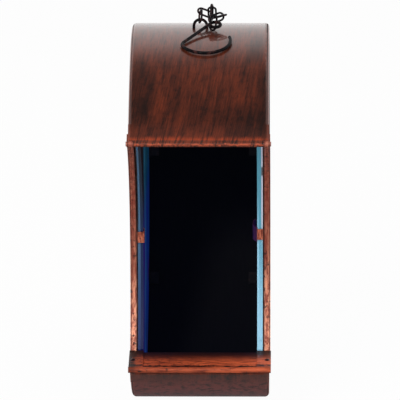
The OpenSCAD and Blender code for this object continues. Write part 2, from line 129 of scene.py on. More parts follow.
class Socket:
    """A shader value that takes part in Python arithmetic."""

    def __init__(self, tree: "Tree", socket: bpy.types.NodeSocket) -> None:
        """Wraps one output socket of a node tree."""
        self.tree = tree
        self.socket = socket

    def _math(self, operation: str, *values: "Socket | float") -> "Socket":
        """Adds a Math node and returns its output."""
        return self.tree.node("ShaderNodeMath", {"operation": operation}, dict(enumerate(values)))

    def __add__(self, other: "Socket | float") -> "Socket":
        """Returns self + other."""
        return self._math("ADD", self, other)

    def __sub__(self, other: "Socket | float") -> "Socket":
        """Returns self - other."""
        return self._math("SUBTRACT", self, other)

    def __rsub__(self, other: float) -> "Socket":
        """Returns other - self."""
        return self._math("SUBTRACT", other, self)

    def __mul__(self, other: "Socket | float") -> "Socket":
        """Returns self * other."""
        return self._math("MULTIPLY", self, other)

    def absolute(self) -> "Socket":
        """Returns the size of self without its sign."""
        return self._math("ABSOLUTE", self)

    def root(self) -> "Socket":
        """Returns the square root of self."""
        return self._math("SQRT", self)

    def turn(self, other: "Socket") -> "Socket":
        """Returns the angle whose tangent is self / other, in radians."""
        return self._math("ARCTAN2", self, other)

    def step(self, step: Step) -> "Socket":
        """Adds a smooth step.

        Args:
            step: Where it starts and ends, and its height.

        Returns:
            A value from 0 to the step's share.
        """
        low, high = sorted((step.start, step.end))
        first, last = (0.0, 1.0) if step.start < step.end else (1.0, 0.0)
        settings = {"interpolation_type": "SMOOTHSTEP"}
        values = {"Value": self, "From Min": low, "From Max": high, "To Min": first, "To Max": last}
        made = self.tree.node("ShaderNodeMapRange", settings, values)
        return made if step.share == 1.0 else made * step.share

    def between(self, span: Span) -> "Socket":
        """Returns the span's value for a mask of 0 to 1."""
        return self * (span.full - span.clear) + span.clear

    def shift(self, reach: float) -> "Socket":
        """Returns a noise, whose average is 0.5, as a shift to both sides of 0."""
        return (self - 0.5) * reach


class Tree:
    """The node tree of one material or of the world."""

    def __init__(self, name: str = "", world: bpy.types.World | None = None) -> None:
        """Starts an empty tree.

        Args:
            name: The name of the new material.
            world: A world to build in instead.
        """
        self.material = world or bpy.data.materials.new(name)
        self.material.use_nodes = True
        self.nodes = self.material.node_tree.nodes
        self.links = self.material.node_tree.links
        self.nodes.clear()

    def node(
        self, kind: str, settings: dict[str, object] | None = None,
        values: dict[int | str, object] | None = None, output: int | str = 0,
    ) -> Socket:
        """Adds any node.

        Args:
            kind: The node's type.
            settings: Attributes, set first.
            values: Values or links of its sockets, by name or place.
            output: The output to return.

        Returns:
            That output.
        """
        made = self.nodes.new(kind)
        for name, value in (settings or {}).items():
            setattr(made, name, value)
        for name, value in (values or {}).items():
            if isinstance(value, Socket):
                self.links.new(value.socket, made.inputs[name])
            else:
                made.inputs[name].default_value = value
        return Socket(self, made.outputs[output])

    def place(self) -> Socket:
        """Returns the object's own coordinates, in metres."""
        return self.node("ShaderNodeTexCoord", output="Object")

    def ray(self, kind: str) -> Socket:
        """Returns 1 for rays of a kind, such as Is Camera Ray, and 0 for others."""
        return self.node("ShaderNodeLightPath", output=kind)

    def split(self, vector: Socket) -> "Sockets":
        """Returns the x, y and z of a vector."""
        outputs = self.node("ShaderNodeSeparateXYZ", values={0: vector}).socket.node.outputs
        return Socket(self, outputs[0]), Socket(self, outputs[1]), Socket(self, outputs[2])

    def join(self, x: Socket | float, y: Socket | float, z: Socket | float) -> Socket:
        """Returns a vector of three values."""
        return self.node("ShaderNodeCombineXYZ", values={0: x, 1: y, 2: z})

    def noise(self, pattern: Noise, vector: Socket, scale: float) -> Socket:
        """Adds a noise texture of a pattern's octaves, and returns its value, about 0.5 on average."""
        values = {"Vector": vector, "Scale": scale, "Detail": pattern.detail, "Roughness": pattern.rough}
        return self.node("ShaderNodeTexNoise", {}, values)

    def speckle(self, pattern: Noise) -> Socket:
        """Returns a noise that is alike in every direction."""
        return self.noise(pattern, self.place(), pattern.scale[0])

    def grain(self, pattern: Noise, *places: Socket | float, bend: Socket | None = None) -> Socket:
        """Adds a noise that each place stretches by its own frequency.

        Args:
            pattern: The noise.
            places: The two or three places that it is read at.
            bend: A slower noise that bends the first place.

        Returns:
            Its value, about 0.5 on average.
        """
        spread = [place * scale for place, scale in zip(places, pattern.scale)]
        if bend is not None:
            spread[0] = spread[0] + bend * pattern.ripple
        if len(spread) == 2:
            spread.append(pattern.cut)
        return self.noise(pattern, self.join(*spread), 1.0)

    def mix(self, mask: Socket | float, low: Socket | Colour, high: Socket | Colour) -> Socket:
        """Returns the colour low where the mask is 0, and high where it is 1."""
        values = {0: mask, 6: _rgba(low), 7: _rgba(high)}
        return self.node("ShaderNodeMix", {"data_type": "RGBA"}, values, output=2)

    def blend(self, mask: Socket | float, low: Socket, high: Socket) -> Socket:
        """Returns the surface low where the mask is 0, and high where it is 1."""
        return self.node("ShaderNodeMixShader", {}, {0: mask, 1: low, 2: high})

    def bump(self, height: Socket, depth: float, strength: float) -> Socket:
        """Returns the normal of a relief, whose height of 0 to 1 spans its depth."""
        return self.node("ShaderNodeBump", {}, {"Height": height, "Distance": depth, "Strength": strength})

    def finish(self, fixed: dict[str, float], varying: dict[str, Socket]) -> bpy.types.Material:
        """Ends the tree in one Principled surface with these values and links."""
        self.end(self.node("ShaderNodeBsdfPrincipled", {}, {**fixed, **varying}))
        return self.material

    def end(self, surface: Socket) -> None:
        """Links a surface to the material's output."""
        of_world = isinstance(self.material, bpy.types.World)
        out = self.nodes.new("ShaderNodeOutputWorld" if of_world else "ShaderNodeOutputMaterial")
        self.links.new(surface.socket, out.inputs["Surface"])


def _rgba(value: Socket | Colour) -> Socket | tuple[float, float, float, float]:
    """Gives a colour its alpha, and returns a socket as it is."""
    return value if isinstance(value, Socket) else (*value, 1.0)


Sockets = tuple[Socket, Socket, Socket]


# ---------------------------------------------------------------- finishes


@dataclass(frozen=True)
class Patch:
    """A soft darker place on the hoop, where the patina was left on."""

    # Its middle and half width across the hoop, in metres
    x: float
    width: float
    # Its middle and half length round the hoop, in degrees up from the front
    turn: float
    length: float
    strength: float


@dataclass(frozen=True)
class Hem:
    """Where the roof's rolled front edge lies, and the wavering painted highlight along it, broken in
    places.
    """

    # The roll, by the distance from the hem wire's middle
    roll: Step = Step(2.9 * MM, 2.3 * MM)
    # The highlight line's slow waves, how far they carry it, and its two borders
    sway: Noise = Noise((120.0, 0.0), 5.0, 0.75, cut=7.0)
    reach: float = 6.0 * MM
    below: Step = Step(-1.0 * MM, -0.3 * MM)
    above: Step = Step(0.9 * MM, 0.1 * MM)
    # The pattern of the highlight's gaps, where the highlight is whole in it, and how clear it is in a gap
    # and elsewhere
    highlight_gaps: Noise = Noise((300.0, 300.0), 3.0, 0.7, cut=1.0)
    worn: Step = Step(0.58, 0.44)
    shine: Span = Span(0.1, 0.85)

    def masks(self, tree: Tree, x: Socket, y: Socket, depth: Socket) -> tuple[Socket, Socket]:
        """Marks the rolled edge.

        Args:
            tree: The material's tree.
            x: Place across the hoop.
            y: Distance behind the hoop's middle.
            depth: Height above it.

        Returns:
            A mask of the roll, and one of the painted highlight along it.
        """
        low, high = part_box("hem_wire")
        middle = (low + high) / 2
        back = y - middle.y
        up = depth - (middle.z - HUB.z)
        line = up - tree.grain(self.sway, x, 0.0).shift(self.reach)
        highlight_gaps = tree.grain(self.highlight_gaps, x, depth)
        # The painted highlight along the roll's top, where its gaps leave it whole
        hem_highlight = line.step(self.below) * line.step(self.above) * highlight_gaps.step(self.worn).between(self.shine)
        return (back * back + up * up).root().step(self.roll), hem_highlight


@dataclass(frozen=True)
class HoopCopper:
    """Brushed, aged copper sheet under a clear lacquer, with its grain running round the hoop.

    Its angles are in radians up from the hoop's front. Its streaks are bright where their noise
    is high, and dark where it is low.
    """

    # The sheet, its brighter and its dark streaks, and the duller underside's painted reflection of the
    # floor
    body: Colour = srgb(98, 44, 28)
    fired: Colour = srgb(150, 62, 32)
    dark: Colour = srgb(38, 21, 17)
    floor_sheen: Colour = srgb(152, 76, 72)
    # Painted glow above the roof's edge, painted shade inside, painted reflection on the bends beside the
    # glass, painted hem highlight
    painted_glow: Colour = srgb(178, 70, 34)
    inside_shade_black: Colour = srgb(6, 5, 6)
    rubbed_and_lit: Colour = srgb(158, 96, 84)
    edge: Colour = srgb(188, 84, 52)
    # The grain's slant, for a radian squared off the top, and where it fades out towards the front
    lean: float = 16 * MM
    upright: Step = Step(0.1, 0.5)
    # The finest streaks, the brush marks, the wide streaks and the blotches
    hair: Noise = Noise((2100.0, 75.0, 50.0), 4.0, 0.75)
    fine: Noise = Noise((760.0, 55.0), 5.0, 0.7, cut=5.0)
    broad: Noise = Noise((210.0, 32.0), 4.0, 0.65, cut=3.0)
    mottle: Noise = Noise((230.0,), 4.0, 0.7)
    # Where the roof's lower half and the underside start
    lower: Step = Step(math.radians(76), math.radians(52))
    underside: Step = Step(-0.74, -0.98)
    # The brighter streaks, and their share on top and in the lower half
    fired_hair: Step = Step(0.42, 0.66, 0.3)
    fired_fine: Step = Step(0.42, 0.66, 0.45)
    fired_broad: Step = Step(0.42, 0.64, 0.45)
    fired_share: Span = Span(0.4, 0.8)
    # The dark streaks: the brush marks' share on top and in the lower half, and all their share
    # above and on the underside
    dark_hair: Step = Step(0.56, 0.32, 0.3)
    dark_fine: Step = Step(0.54, 0.3)
    dark_fine_share: Span = Span(0.28, 0.34)
    dark_broad: Step = Step(0.54, 0.32, 0.34)
    dark_share: Span = Span(0.9, 0.18)
    # The dark blotches, and their share above and on the underside
    blotches: Step = Step(0.54, 0.34)
    blotch_share: Span = Span(0.2, 0.8)
    # How dark a patch is between the brush marks and on them, and the lower half above and on the
    # underside, and how strongly the underside shows its painted reflection of the floor
    patch_share: Span = Span(0.2, 1.1)
    low_share: Span = Span(0.26, 0.06)
    floor_sheen_share: float = 0.9
    # The painted glow on the last stretch above the edge: its two borders, how far the wide streaks
    # carry the upper one, in radians, and the brush marks that it shows in
    glow_top: Step = Step(math.radians(38.0), math.radians(36.3))
    glow_foot: Step = Step(0.3, 0.5)
    glow_wander: float = 0.05
    glow_marks: Step = Step(0.36, 0.56)
    glow_share: float = 0.85
    # The rolled edge, and its brighter streaks
    hem: Hem = Hem()
    hem_fired: Step = Step(0.4, 0.6, 0.6)
    # The inside, painted near black as shade, by the distance from the outer face, and where it ends across
    # the hoop
    inner_face: Step = Step(-0.35 * MM, -0.75 * MM)
    walls: Step = Step(46.4 * MM, 46.9 * MM)
    # Where the bends beside the glass start, across the hoop, and how strong their painted reflection is
    bend: Step = Step(45.2 * MM, 47.2 * MM)
    bend_share: float = 0.4
    # The roughness between the brush marks and on them, what the inside adds, and the metallic
    # share of the sheet and of the rolled edge
    rough: Span = Span(0.36, 0.52)
    inside_rough: float = 0.4
    metallic: Span = Span(0.45, 0.135)
    # The lacquer above and on the underside, and what is left of it on the bends and the rolled edge
    coat: Span = Span(0.95, 0.27)
    coat_bend: Span = Span(1.0, 0.6)
    coat_hem: Span = Span(1.0, 0.4)
    # The darker places, and how they fade out
    patches: tuple[Patch, ...] = (
        Patch(-38 * MM, 9 * MM, 56.0, 12.0, 0.42),
        Patch(-42 * MM, 6 * MM, 46.0, 6.0, 0.4),
        Patch(38 * MM, 6 * MM, 73.0, 9.0, 0.5),
        Patch(43 * MM, 5 * MM, 51.0, 15.0, 0.45),
        Patch(-16 * MM, 6 * MM, 49.0, 8.0, 0.22),
        Patch(31 * MM, 15 * MM, 42.0, 7.0, 0.5),
        Patch(4 * MM, 12 * MM, 43.0, 5.0, 0.2),
        Patch(-30 * MM, 12 * MM, 41.0, 4.0, 0.16),
    )
    patch_fade: Step = Step(1.6, 0.0)

    def material(self) -> bpy.types.Material:
        """Returns the sheet's material."""
        tree = Tree("hoop_copper")
        x, y, z = tree.split(tree.place())
        depth = z - HUB.z
        radius = (y * y + depth * depth).root()
        angle = depth.turn(y * -1.0)
        around = angle * HOOP_R
        off_top = math.pi / 2 - angle
        slanted = x + off_top * off_top * angle.step(self.upright) * self.lean
        hair = tree.grain(self.hair, slanted, around, radius)
        fine = tree.grain(self.fine, slanted, around)
        broad = tree.grain(self.broad, slanted, around)
        under = angle.step(self.underside)
        inside = radius.step(self.inner_face.moved(HOOP_R)) * (1.0 - x.absolute().step(self.walls))
        hem, hem_highlight = self.hem.masks(tree, x, y, depth)
        bend = x.absolute().step(self.bend)
        colour = self.patina(tree, (hair, fine, broad), self.shade(x, angle), angle)
        # Painted glow on the last stretch above the rolled edge
        glow = (angle + broad.shift(self.glow_wander)).step(self.glow_top) * angle.step(self.glow_foot)
        glow = glow * fine.step(self.glow_marks) * (1.0 - inside)
        colour = tree.mix(glow * self.glow_share, colour, self.painted_glow)
        # The rolled edge: dark and bright streaks, with the painted highlight line along its top
        rolled = tree.mix(hem_highlight, tree.mix(fine.step(self.hem_fired), self.dark, self.fired), self.edge)
        colour = tree.mix(hem, colour, rolled)
        # Painted shade: the inside of the hoop is near black
        colour = tree.mix(inside * (1.0 - hem), colour, self.inside_shade_black)
        # Painted reflection of the bright studio on the bends beside the glass
        colour = tree.mix(bend * (1.0 - inside) * self.bend_share, colour, self.rubbed_and_lit)
        lacquer = bend.between(self.coat_bend) * hem.between(self.coat_hem) * under.between(self.coat)
        return tree.finish(
            {"Coat Roughness": 0.08, "Coat IOR": 1.5, "IOR": 1.45},
            {
                "Base Color": colour,
                "Roughness": fine.between(self.rough) + inside * self.inside_rough,
                "Metallic": hem.between(self.metallic) * (1.0 - inside),
                "Coat Weight": lacquer * (1.0 - inside),
                "Normal": tree.bump(fine * 0.5 + hair * 0.5, depth=0.2 * MM, strength=0.3),
            },
        )

    def patina(self, tree: Tree, streaks: Sockets, patch: Socket, angle: Socket) -> Socket:
        """Returns the colour of the brushed outer face.

        Args:
            tree: The material's tree.
            streaks: The finest streaks, the brush marks and the wide streaks.
            patch: The mask of the darker places.
            angle: Angle round the hoop.

        Returns:
            The colour.
        """
        hair, fine, broad = streaks
        low = angle.step(self.lower)
        under = angle.step(self.underside)
        fired = hair.step(self.fired_hair) + fine.step(self.fired_fine) + broad.step(self.fired_broad)
        colour = tree.mix(fired * low.between(self.fired_share) * (1.0 - patch), self.body, self.fired)
        # Painted reflection of the white floor on the underside
        colour = tree.mix(under * self.floor_sheen_share, colour, self.floor_sheen)
        black = hair.step(self.dark_hair) + broad.step(self.dark_broad)
        black = black + fine.step(self.dark_fine) * low.between(self.dark_fine_share)
        black = black * under.between(self.dark_share)
        black = black + tree.speckle(self.mottle).step(self.blotches) * under.between(self.blotch_share)
        black = black + patch * fine.between(self.patch_share) + low * under.between(self.low_share)
        return tree.mix(black, colour, self.dark)

    def shade(self, x: Socket, angle: Socket) -> Socket:
        """Adds up the darker places.

        Args:
            x: Place across the hoop.
            angle: Angle round the hoop.

        Returns:
            0 on bright copper, and up to 1 in the darker places.
        """
        total: Socket | float = 0.0
        for spot in self.patches:
            across = (x - spot.x) * (1.0 / spot.width)
            along = (angle - math.radians(spot.turn)) * (1.0 / math.radians(spot.length))
            total = (across * across + along * along).step(self.patch_fade) * spot.strength + total
        return total


@dataclass(frozen=True)
class FoldedCopper:
    """Brushed copper of the folded strips, perch, tabs and clips, dark where its finish is worn.

    Attributes:
        name: The material's name.
        body: Its colour.
        bright: The colour of its streaks.
        dark: The colour of its worn spots.
        speck: How high the spots' pattern still counts as worn.
        rough: Its least roughness.
    """

    name: str
    body: Colour
    bright: Colour
    dark: Colour = srgb(46, 18, 14)
    speck: float = 0.42
    metallic: float = 0.6
    rough: float = 0.3
    coat: float = 0.3
    # The streaks, and where they are bright
    grain: Noise = Noise((420.0, 420.0, 60.0), 5.0, 0.65)
    streaks: Step = Step(0.38, 0.64)
    # The worn spots' pattern and their border, how dark they are, how much of the metallic share
    # they lack, and what the pattern adds to the roughness
    spots: Noise = Noise((300.0,), 4.0, 0.6)
    fade: Step = Step(0.0, -0.1)
    worn_share: float = 0.85
    worn_metallic: float = 0.4
    spot_rough: float = 0.2

    def material(self) -> bpy.types.Material:
        """Returns the copper's material."""
        tree = Tree(self.name)
        places = tree.split(tree.place())
        fine = tree.grain(self.grain, *places)
        spots = tree.speckle(self.spots)
        worn = spots.step(self.fade.moved(self.speck))
        colour = tree.mix(self.tone(fine, places), self.body, self.bright)
        colour = tree.mix(worn * self.worn_share, colour, self.dark)
        return tree.finish(
            {"Coat Roughness": 0.12, "Coat Weight": self.coat},
            {
                "Base Color": self.shaded(tree, colour, places),
                "Metallic": self.metallic - worn * self.worn_metallic,
                "Roughness": spots * self.spot_rough + self.rough,
                "Normal": tree.bump(fine * 0.6 + spots * 0.4, depth=0.3 * MM, strength=0.45),
            },
        )

    def tone(self, fine: Socket, places: Sockets) -> Socket:
        """Returns the share of the brighter copper."""
        return fine.step(self.streaks)

    def shaded(self, tree: Tree, colour: Socket, places: Sockets) -> Socket:
        """Returns the colour with the piece's own shading, which is none here."""
        return colour


@dataclass(frozen=True)
class StripCopper(FoldedCopper):
    """The side strips: dull and rosy under the roof, and brighter towards the perch with painted light."""

    streaks: Step = Step(0.4, 0.62)
    # Where they turn bright with painted light, by the height above the hoop's middle, and their brightness
    # above and below
    lit_towards_perch: Step = Step(10 * MM, -60 * MM)
    rubbed_and_lit: Span = Span(0.25, 1.0)
    # The fold's line and the inner border, both darkened as painted shade, by the distance from the feeder's
    # middle plane
    fold: float = 47.7 * MM
    crease: Step = Step(0.7 * MM, 0.2 * MM)
    border: Step = Step(45.4 * MM, 44.2 * MM, 0.8)
    border_share: float = 0.6
    # The dark scratches
    scratches: Noise = Noise((900.0, 90.0, 90.0), 3.0, 0.6)
    scratched: Step = Step(0.6, 0.7, 0.6)

    def tone(self, fine: Socket, places: Sockets) -> Socket:
        """Returns the share of the brighter copper, more towards the perch, as painted light."""
        height = places[2] - HUB.z
        return fine.step(self.streaks) * height.step(self.lit_towards_perch).between(self.rubbed_and_lit)

    def shaded(self, tree: Tree, colour: Socket, places: Sockets) -> Socket:
        """Darkens the strip's two borders with painted shade, and its scratches.

        Args:
            tree: The material's tree.
            colour: The copper's colour.
            places: The object's coordinates.

        Returns:
            The darkened colour.
        """
        x, y, z = places
        across = x.absolute()
        shade_lines = (across - self.fold).absolute().step(self.crease) + across.step(self.border)
        scratches = tree.grain(self.scratches, across, y, z).step(self.scratched)
        return tree.mix(shade_lines * self.border_share + scratches, colour, self.dark)


@dataclass(frozen=True)
class ClipCopper(FoldedCopper):
    """The clips: rubbed over the glass, with the right clip's tongue in painted shade, tinted dark purple by
    the glass.
    """

    tongue_shade: Colour = srgb(46, 12, 62)
    # The tongue, in painted shade, from the right glass's inner face, and where the right clip is across the
    # feeder
    tongue: Step = Step(0.2 * MM, -0.3 * MM)
    right: Step = Step(0.0, 10 * MM)
    tongue_shade_share: float = 0.92
    # The painted shadow at the end towards the strip, from the right glass's outer face
    shadow: Step = Step(-0.3 * MM, 0.3 * MM, 0.8)

    def shaded(self, tree: Tree, colour: Socket, places: Sockets) -> Socket:
        """Paints shade on the tongue, and a painted shadow on the clips towards the strips.

        Args:
            tree: The material's tree.
            colour: The copper's colour.
            places: The object's coordinates.

        Returns:
            The colour with both.
        """
        x = places[0]
        inner, outer = (corner.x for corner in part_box("glass_right"))
        tongue = x.step(self.tongue.moved(inner)) * x.step(self.right)
        colour = tree.mix(tongue * self.tongue_shade_share, colour, self.tongue_shade)
        return tree.mix(x.absolute().step(self.shadow.moved(outer)), colour, self.dark)


@dataclass(frozen=True)
class PerchCopper(FoldedCopper):
    """The perch: darker at the back with a painted reflection of the dark inside, brighter towards its lip
    with a painted highlight, and a dark wavering crease of painted shade.

    Its depths are measured back from the perch's front.
    """

    # The part brightened with a painted highlight, by its depth, and how it grows from the left to the right
    streaks: Step = Step(0.3, 0.6)
    lip_highlight: Step = Step(42 * MM, 22 * MM)
    aside: Step = Step(-44 * MM, 36 * MM)
    aside_share: Span = Span(0.6, 1.0)
    # The waves of the crease, and the pattern of its gaps and of the worn places
    sway: Noise = Noise((110.0, 0.0), 5.0, 0.75, cut=2.0)
    chips: Noise = Noise((260.0, 330.0), 4.0, 0.7, cut=6.0)
    # The crease of painted shade: its depth, how far the waves carry it, its half width and its border
    # behind the lip
    crease: float = 11.8 * MM
    crease_sway: float = 11.0 * MM
    crease_width: Step = Step(2.8 * MM, 0.8 * MM, 0.92)
    crease_front: Step = Step(9.0 * MM, 10.0 * MM)
    # Where the crease is whole, and how dark it is in a gap and elsewhere
    gaps: Step = Step(0.62, 0.46)
    crease_share: Span = Span(0.35, 0.95)
    # The line of painted shade on the lip: its front, its back and the waves that it shows in
    brow_front: Step = Step(1.5 * MM, 2.6 * MM)
    brow_back: Step = Step(6.0 * MM, 5.0 * MM)
    brow_waves: Step = Step(0.44, 0.52, 0.8)
    # The dark left end, and how dark it is on the lip and behind it
    end: Step = Step(-43.0 * MM, -46.0 * MM)
    end_depth: Step = Step(7 * MM, 9 * MM)
    end_share: Span = Span(0.25, 0.8)
    # The worn places, their share at the right and at the left, and where they start behind the lip
    worn: Step = Step(0.52, 0.38)
    worn_aside: Step = Step(30 * MM, -30 * MM)
    worn_aside_share: Span = Span(0.15, 0.65)
    worn_front: Step = Step(9 * MM, 11 * MM)
    # The back, darkened with a painted reflection of the dark inside, and the dark of the rolled lip
    dark_in_shade: Step = Step(18 * MM, 36 * MM, 0.95)
    roll: Step = Step(8 * MM, 6 * MM, 0.36)

    def depth(self, places: Sockets) -> Socket:
        """Returns the depth behind the perch's front."""
        return places[1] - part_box("perch")[0].y

    def tone(self, fine: Socket, places: Sockets) -> Socket:
        """Returns the share of the brighter copper, more towards the lip, where it is a painted highlight,
        and towards the right.
        """
        aside = places[0].step(self.aside).between(self.aside_share)
        return fine.step(self.streaks) * self.depth(places).step(self.lip_highlight) * aside

    def shaded(self, tree: Tree, colour: Socket, places: Sockets) -> Socket:
        """Darkens the back, the crease and a line on the lip as painted shade, and the rolled lip and the
        worn places.

        Args:
            tree: The material's tree.
            colour: The copper's colour.
            places: The object's coordinates.

        Returns:
            The darkened colour.
        """
        x, y, _ = places
        depth = self.depth(places)
        sway = tree.grain(self.sway, x, 0.0)
        chips = tree.grain(self.chips, x, y)
        behind = depth - self.crease - sway.shift(self.crease_sway)
        crease = behind.step(self.crease_width) * depth.step(self.crease_front)
        crease = crease * chips.step(self.gaps).between(self.crease_share)
        brow = depth.step(self.brow_front) * depth.step(self.brow_back) * sway.step(self.brow_waves)
        end = x.step(self.end) * depth.step(self.end_depth).between(self.end_share)
        worn = chips.step(self.worn) * x.step(self.worn_aside).between(self.worn_aside_share)
        worn = worn * depth.step(self.worn_front)
        # Painted reflection of the dark inside, on the back of the perch
        colour = tree.mix(depth.step(self.dark_in_shade), colour, self.dark)
        return tree.mix(crease + brow + end + worn + depth.step(self.roll), colour, self.dark)


@dataclass(frozen=True)
class GlassEdge:
    """The narrow front edge of a pane, which shows the glass's layers.

    Its heights are measured from the hoop's middle.
    """

    # Its colour at the top and at the bottom, along the outer face in its upper part, and along
    # the inner face at the top and at the bottom
    high: Colour
    low: Colour
    outer: Colour
    inner: Colour
    inner_low: Colour
    # The widths of the outer and the inner colour
    outer_width: float
    inner_width: float
    # The outer and the inner colour's borders, from their widths
    outer_fade: Step = Step(0.0, -0.35 * MM)
    inner_fade: Step = Step(0.0, -0.5 * MM)
    inner_share: float = 0.85
    # Where the edge's colour changes, the outer colour ends and the inner colour changes
    fall: Step = Step(12 * MM, -90 * MM)
    outer_fall: Step = Step(-22 * MM, 8 * MM)
    inner_fall: Step = Step(40 * MM, -20 * MM)
    # The paler specks
    specks: Noise = Noise((160.0,), 4.0, 0.65)
    speckled: Step = Step(0.55, 0.75, 0.4)
    # The dark fleck: its middle's height, and its border from there
    fleck: float = 45 * MM
    fleck_size: Step = Step(5 * MM, 3 * MM)
    fleck_share: float = 0.9

    def colour(
        self, tree: Tree, x: Socket, height: Socket, faces: tuple[float, float], amber: Colour
    ) -> Socket:
        """Returns the edge's colour.

        Args:
            tree: The material's tree.
            x: Place across the feeder.
            height: Height above the hoop's middle.
            faces: Where the outer and the inner face are, across the feeder.
            amber: The fleck's colour.

        Returns:
            The colour.
        """
        outer, inner = faces
        rim = tree.mix(height.step(self.fall), self.high, self.low)
        rim = tree.mix(tree.speckle(self.specks).step(self.speckled), rim, self.high)
        side = (x - outer).absolute().step(self.outer_fade.moved(self.outer_width))
        side = side * height.step(self.outer_fall)
        skin = (x - inner).absolute().step(self.inner_fade.moved(self.inner_width)) * self.inner_share
        lining = tree.mix(height.step(self.inner_fall), self.inner, self.inner_low)
        rim = tree.mix(skin, tree.mix(side, rim, self.outer), lining)
        fleck = (height - self.fleck).absolute().step(self.fleck_size) * side
        return tree.mix(fleck * self.fleck_share, rim, amber)


@dataclass(frozen=True)
class ArtGlass:
    """Streaked opalescent glass: wisps of blue, teal and purple, whose inner face has a painted glow for the
    light that it lets through.

    Its heights are measured from the hoop's middle, and its distances from the mouth's arc.
    """

    side: Side
    edge: GlassEdge
    # The upper part, the pale streaks, the lower part, and the purple and the brown streaks
    face: Colour = srgb(12, 70, 92)
    wisp: Colour = srgb(70, 130, 165)
    deep: Colour = srgb(14, 42, 138)
    violet: Colour = srgb(52, 6, 104)
    amber: Colour = srgb(40, 22, 20)
    # The slow waves, and the wide and the narrow streaks that they bend
    sway: Noise = Noise((9.0, 11.0), 2.0, 0.5, cut=1.0)
    ribbon: Noise = Noise((26.0, 9.0), 3.0, 0.6, cut=4.0, ripple=4.0)
    thread: Noise = Noise((60.0, 20.0), 4.0, 0.65, cut=9.0, ripple=8.0)
    # The pale wisps, and their share in the upper and the lower part
    wisps: Step = Step(0.5, 0.66)
    wisp_share: Span = Span(0.6, 0.25)
    # Where the lower part starts, and how blue it is between the narrow streaks and on them
    lower: Step = Step(25 * MM, -15 * MM)
    deep_thread: Step = Step(0.4, 0.6)
    deep_share: Span = Span(0.55, 1.0)
    # The purple and the brown streaks
    violets: Step = Step(0.46, 0.36)
    ambers: Step = Step(0.42, 0.32, 0.8)
    # The dark belt along the mouth, how far the waves carry its border, and its purple share low down
    near: Step = Step(34 * MM, 14 * MM)
    near_sway: float = 50 * MM
    near_violet: float = 0.7
    # The pale trail behind it: its distance, how far the narrow streaks and the waves carry it,
    # its half width, and how pale it is between the wide streaks and on them
    trail: float = 55 * MM
    trail_thread: float = 60 * MM
    trail_sway: float = 100 * MM
    trail_width: Step = Step(16 * MM, 2 * MM)
    trail_ribbon: Step = Step(0.4, 0.56)
    trail_share: Span = Span(0.3, 0.8)
    # The edge and the inner face, by how far they look across the feeder and inward
    across: Step = Step(0.6, 0.3)
    inward: Step = Step(0.4, 0.8)
    # The clear coat on the faces and on the edge, and the roughness with what edge and inner face add
    coat: Span = Span(0.5, 0.05)
    rough: float = 0.16
    edge_rough: float = 0.25
    inner_rough: float = 0.3

    def material(self) -> bpy.types.Material:
        """Returns the pane's material."""
        tree = Tree(f"art_glass_{self.side.value}")
        x, y, z = tree.split(tree.place())
        low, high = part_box(f"glass_{self.side.value}")
        on_left = self.side is Side.LEFT
        faces = (low.x, high.x) if on_left else (high.x, low.x)
        facing = tree.split(tree.node("ShaderNodeTexCoord", output="Normal"))[0]
        edge = facing.absolute().step(self.across)
        inner = (facing * (1.0 if on_left else -1.0)).step(self.inward)
        height = z - HUB.z
        sway = tree.grain(self.sway, y, z)
        ribbon = tree.grain(self.ribbon, y, z, bend=sway)
        thread = tree.grain(self.thread, y, z, bend=sway)
        colour = self.streaks(tree, (sway, ribbon, thread), y, height)
        colour = tree.mix(edge, colour, self.edge.colour(tree, x, height, faces, self.amber))
        return tree.finish(
            {"IOR": 1.36, "Coat Roughness": 0.05, "Emission Strength": 0.52},
            {
                "Base Color": colour,
                "Coat Weight": edge.between(self.coat),
                "Roughness": edge * self.edge_rough + self.rough + inner * self.inner_rough,
                # Painted glow: the inner face emits its own colour, for light that the glass lets through
                "Emission Color": tree.mix(inner, BLACK, colour),
                "Normal": tree.bump(ribbon * 0.6 + thread * 0.4, depth=0.6 * MM, strength=0.3),
            },
        )

    def streaks(self, tree: Tree, waves: Sockets, y: Socket, height: Socket) -> Socket:
        """Returns the colour of the pane's two faces.

        Args:
            tree: The material's tree.
            waves: The slow waves, the wide streaks and the narrow ones.
            y: Place from the front to the back.
            height: Height above the hoop's middle.

        Returns:
            The colour.
        """
        sway, ribbon, thread = waves
        low = height.step(self.lower)
        back, up = y - MOUTH.y, height - MOUTH.z
        behind = (back * back + up * up).root() - MOUTH_R
        near = (behind + sway.shift(self.near_sway)).step(self.near)
        trail = behind + thread.shift(self.trail_thread) + sway.shift(self.trail_sway) - self.trail
        trail = trail.absolute().step(self.trail_width)
        colour = tree.mix(ribbon.step(self.wisps) * low.between(self.wisp_share), self.face, self.wisp)
        deep = low * thread.step(self.deep_thread).between(self.deep_share)
        colour = tree.mix(deep, colour, self.deep)
        colour = tree.mix(low * ribbon.step(self.violets), colour, self.violet)
        colour = tree.mix(near * low * self.near_violet, colour, self.violet)
        colour = tree.mix(near * (1.0 - low) + thread.step(self.ambers), colour, self.amber)
        pale = trail * ribbon.step(self.trail_ribbon).between(self.trail_share)
        return tree.mix(pale, colour, self.wisp)


